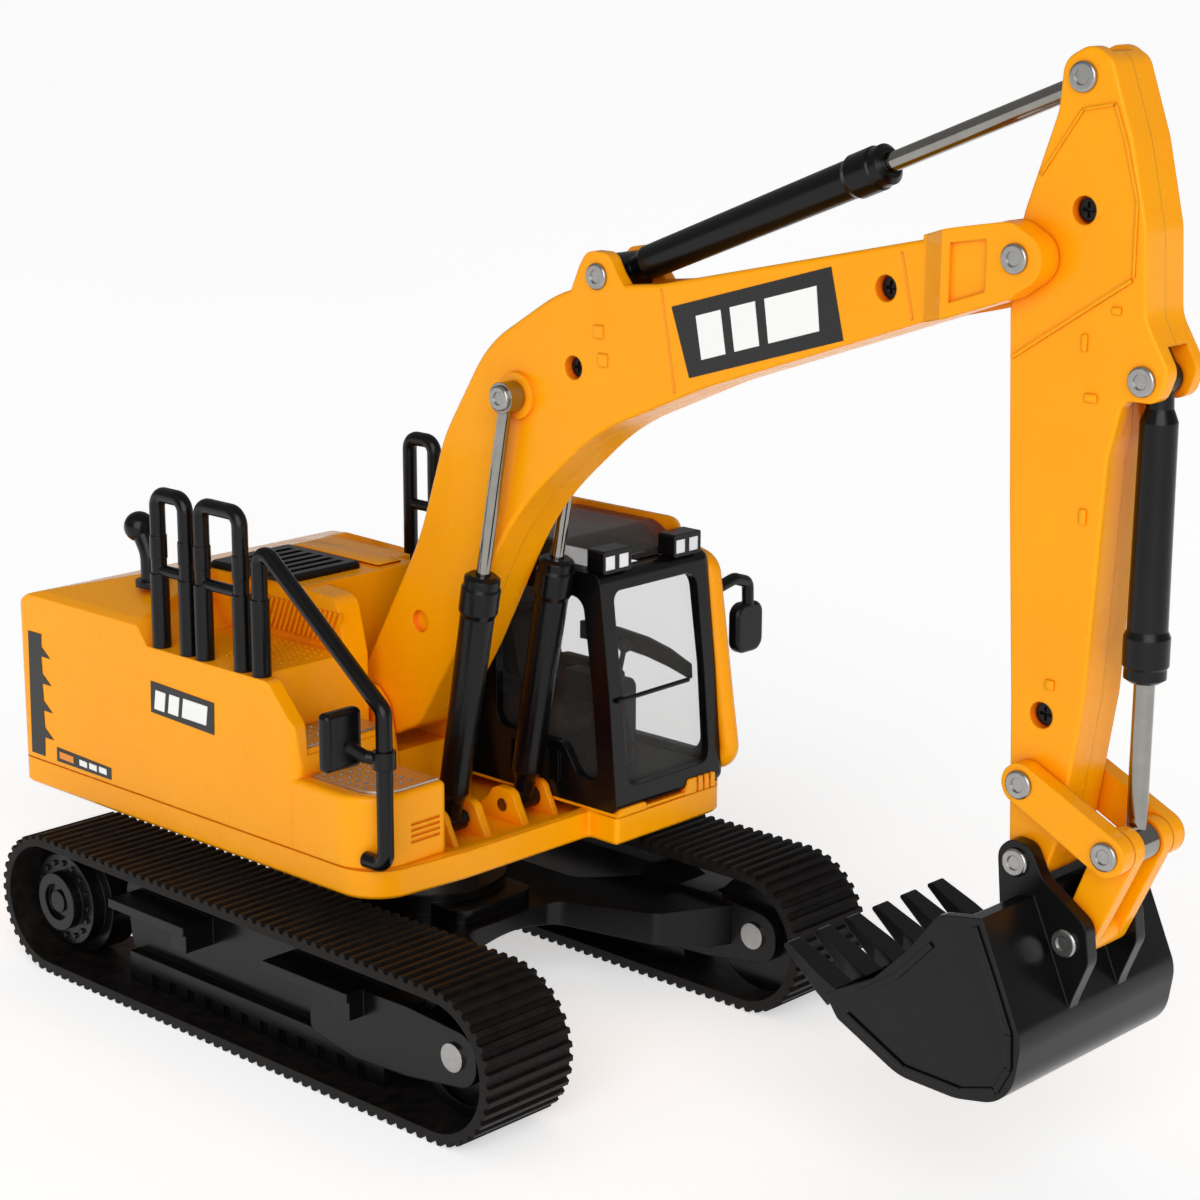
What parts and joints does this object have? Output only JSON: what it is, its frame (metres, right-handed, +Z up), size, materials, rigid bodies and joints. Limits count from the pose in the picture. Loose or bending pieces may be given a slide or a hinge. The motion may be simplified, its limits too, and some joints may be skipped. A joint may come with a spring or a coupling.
{
  "type": "toy excavator",
  "caption": "Toy tracked excavator with slewing cab, goose-neck boom, arm, toothed bucket, ribbed rubber belts and working cylinder linkages.",
  "frame": {"origin": "on the ground under the slew axis, midway between the tracks", "axes": "+X forward towards the bucket, +Y to the machine's left (cab side), +Z up"},
  "size_m": [0.2439, 0.1104, 0.1853],
  "materials": {
    "gloss_yellow": "glossy moulded plastic",
    "black_plastic": "semi-gloss moulded plastic",
    "chrome": "polished",
    "steel": "bright rivet",
    "tread_steel": "dimpled plate",
    "glazing": "clear",
    "skylight_smoke": "smoked",
    "lamp_white": "lamp lens",
    "belt_rubber": "ribbed rubber belt",
    "grey_metal": "turned pin",
    "seat_black": "matt moulded plastic"
  },
  "bodies": {
    "undercarriage": {"chassis_frame": "black_plastic", "slew_post": "grey_metal", "track_frame_left": "black_plastic", "track_frame_right": "black_plastic", "track_belt_left": "belt_rubber", "track_belt_right": "belt_rubber", "track_axles": "steel"},
    "idler_left": {"idler_wheel_left": "black_plastic"},
    "idler_right": {"idler_wheel_right": "black_plastic"},
    "sprocket_left_wheel": {"sprocket_left": "black_plastic"},
    "sprocket_right_wheel": {"sprocket_right": "black_plastic"},
    "upper": {"deck_tray": "gloss_yellow", "body_shell": "gloss_yellow", "boom_pedestal": "gloss_yellow", "boom_foot_pin": "steel", "boom_cylinder_foot_pins": "steel", "tread_plates": "tread_steel", "hood_grille": "black_plastic", "exhaust_pipe": "black_plastic", "handrail_rear": "black_plastic", "handrail_middle": "black_plastic", "stair_rail": "black_plastic", "right_mirror": "black_plastic", "left_handrail": "black_plastic", "cab_sill": "gloss_yellow", "cab_frame": "black_plastic", "cab_windows": "glazing", "cab_roof": "gloss_yellow", "cab_skylight": "skylight_smoke", "cab_lamp_housings": "black_plastic", "cab_lamps": "lamp_white", "cab_guard_tube": "gloss_yellow", "left_mirror": "black_plastic", "cab_seat": "seat_black", "cab_console": "seat_black", "cab_levers": "seat_black", "cab_wiper": "black_plastic"},
    "boom": {"boom_shell_left": "gloss_yellow", "boom_shell_right": "gloss_yellow", "boom_screws": "black_plastic", "arm_pivot_pin": "steel", "arm_cylinder_base_pin": "steel"},
    "boom_rods": {"boom_cylinder_rods": "chrome", "boom_rod_rivets": "steel"},
    "boom_barrels": {"boom_cylinder_barrels": "black_plastic"},
    "arm": {"arm_shell_left": "gloss_yellow", "arm_shell_right": "gloss_yellow", "arm_screws": "black_plastic", "arm_eye_rivets": "steel", "arm_link_pins": "steel"},
    "arm_rod": {"arm_cylinder_rod": "chrome"},
    "arm_barrel": {"arm_cylinder_barrel": "black_plastic"},
    "bucket": {"bucket_shell": "black_plastic", "bucket_teeth": "black_plastic", "bucket_link_pin": "steel"},
    "rocker": {"bucket_rocker": "gloss_yellow", "rocker_end_pin": "steel"},
    "coupler": {"bucket_coupler": "gloss_yellow"},
    "bucket_rod": {"bucket_cylinder_rod": "chrome"},
    "bucket_barrel": {"bucket_cylinder_barrel": "black_plastic"}
  },
  "joints": [
    {"name": "idler_spin_left", "type": "hinge", "parent": "undercarriage", "child": "idler_left", "pos_m": [0.0555, 0.04, 0.0142], "axis": [0, 1, 0], "continuous": true},
    {"name": "idler_spin_right", "type": "hinge", "parent": "undercarriage", "child": "idler_right", "pos_m": [0.0555, -0.04, 0.0142], "axis": [0, 1, 0], "continuous": true},
    {"name": "sprocket_spin_left", "type": "hinge", "parent": "undercarriage", "child": "sprocket_left_wheel", "pos_m": [-0.0555, 0.04, 0.0142], "axis": [0, 1, 0], "continuous": true},
    {"name": "sprocket_spin_right", "type": "hinge", "parent": "undercarriage", "child": "sprocket_right_wheel", "pos_m": [-0.0555, -0.04, 0.0142], "axis": [0, 1, 0], "continuous": true},
    {"name": "slew", "type": "hinge", "parent": "undercarriage", "child": "upper", "pos_m": [0, 0, 0.033], "axis": [0, 0, 1], "continuous": true},
    {"name": "boom_lift", "type": "hinge", "parent": "upper", "child": "boom", "pos_m": [-0.007, 0, 0.055], "axis": [0, 1, 0], "range_deg": [-22, 10]},
    {"name": "boom_rod_swing", "type": "hinge", "parent": "boom", "child": "boom_rods", "pos_m": [0.0332, 0, 0.1212], "axis": [0, 1, 0], "range_deg": [-2.06, 3.94]},
    {"name": "boom_cylinder_stroke", "type": "slide", "parent": "boom_rods", "child": "boom_barrels", "axis": [-0.1874, 0, -0.9823], "range_m": [-0.00471, 0.01013]},
    {"name": "arm_swing", "type": "hinge", "parent": "boom", "child": "arm", "pos_m": [0.1398, 0, 0.1547], "axis": [0, 1, 0], "range_deg": [-25, 20]},
    {"name": "arm_rod_swing", "type": "hinge", "parent": "arm", "child": "arm_rod", "pos_m": [0.147, 0, 0.181], "axis": [0, 1, 0], "range_deg": [-17.46, 21.7]},
    {"name": "arm_cylinder_stroke", "type": "slide", "parent": "arm_rod", "child": "arm_barrel", "axis": [-0.9312, 0, -0.3644], "range_m": [-0.0099, 0.00796]},
    {"name": "bucket_curl", "type": "hinge", "parent": "arm", "child": "bucket", "pos_m": [0.143, 0, 0.0616], "axis": [0, 1, 0], "range_deg": [-25, 30]},
    {"name": "rocker_swing", "type": "hinge", "parent": "arm", "child": "rocker", "pos_m": [0.1434, 0, 0.0744], "axis": [0, 1, 0], "range_deg": [-18.82, 22.48]},
    {"name": "bucket_rod_swing", "type": "hinge", "parent": "rocker", "child": "bucket_rod", "pos_m": [0.1592, 0, 0.0666], "axis": [0, 1, 0], "range_deg": [-20.12, 16.85]},
    {"name": "bucket_cylinder_stroke", "type": "slide", "parent": "bucket_rod", "child": "bucket_barrel", "axis": [0.0014, 0, 1], "range_m": [-0.00519, 0.00619]},
    {"name": "coupler_swing", "type": "hinge", "parent": "rocker", "child": "coupler", "pos_m": [0.1592, 0, 0.0666], "axis": [0, 1, 0], "range_deg": [-13.13, 11.02]}
  ],
  "couplings": [
    {"joint": "idler_spin_left", "follows": "sprocket_spin_left", "ratio": 1},
    {"joint": "idler_spin_right", "follows": "sprocket_spin_right", "ratio": 1},
    {"joint": "boom_rod_swing", "follows": "boom_lift", "ratio": -0.15616},
    {"joint": "boom_cylinder_stroke", "follows": "boom_lift", "m_per_rad": -0.025849},
    {"joint": "arm_rod_swing", "follows": "arm_swing", "ratio": -0.84782},
    {"joint": "arm_cylinder_stroke", "follows": "arm_swing", "m_per_rad": 0.022228},
    {"joint": "rocker_swing", "follows": "bucket_curl", "ratio": 0.73261},
    {"joint": "bucket_rod_swing", "follows": "bucket_curl", "ratio": -0.6539},
    {"joint": "bucket_cylinder_stroke", "follows": "bucket_curl", "m_per_rad": 0.011444},
    {"joint": "coupler_swing", "follows": "bucket_curl", "ratio": -0.42096}
  ]
}
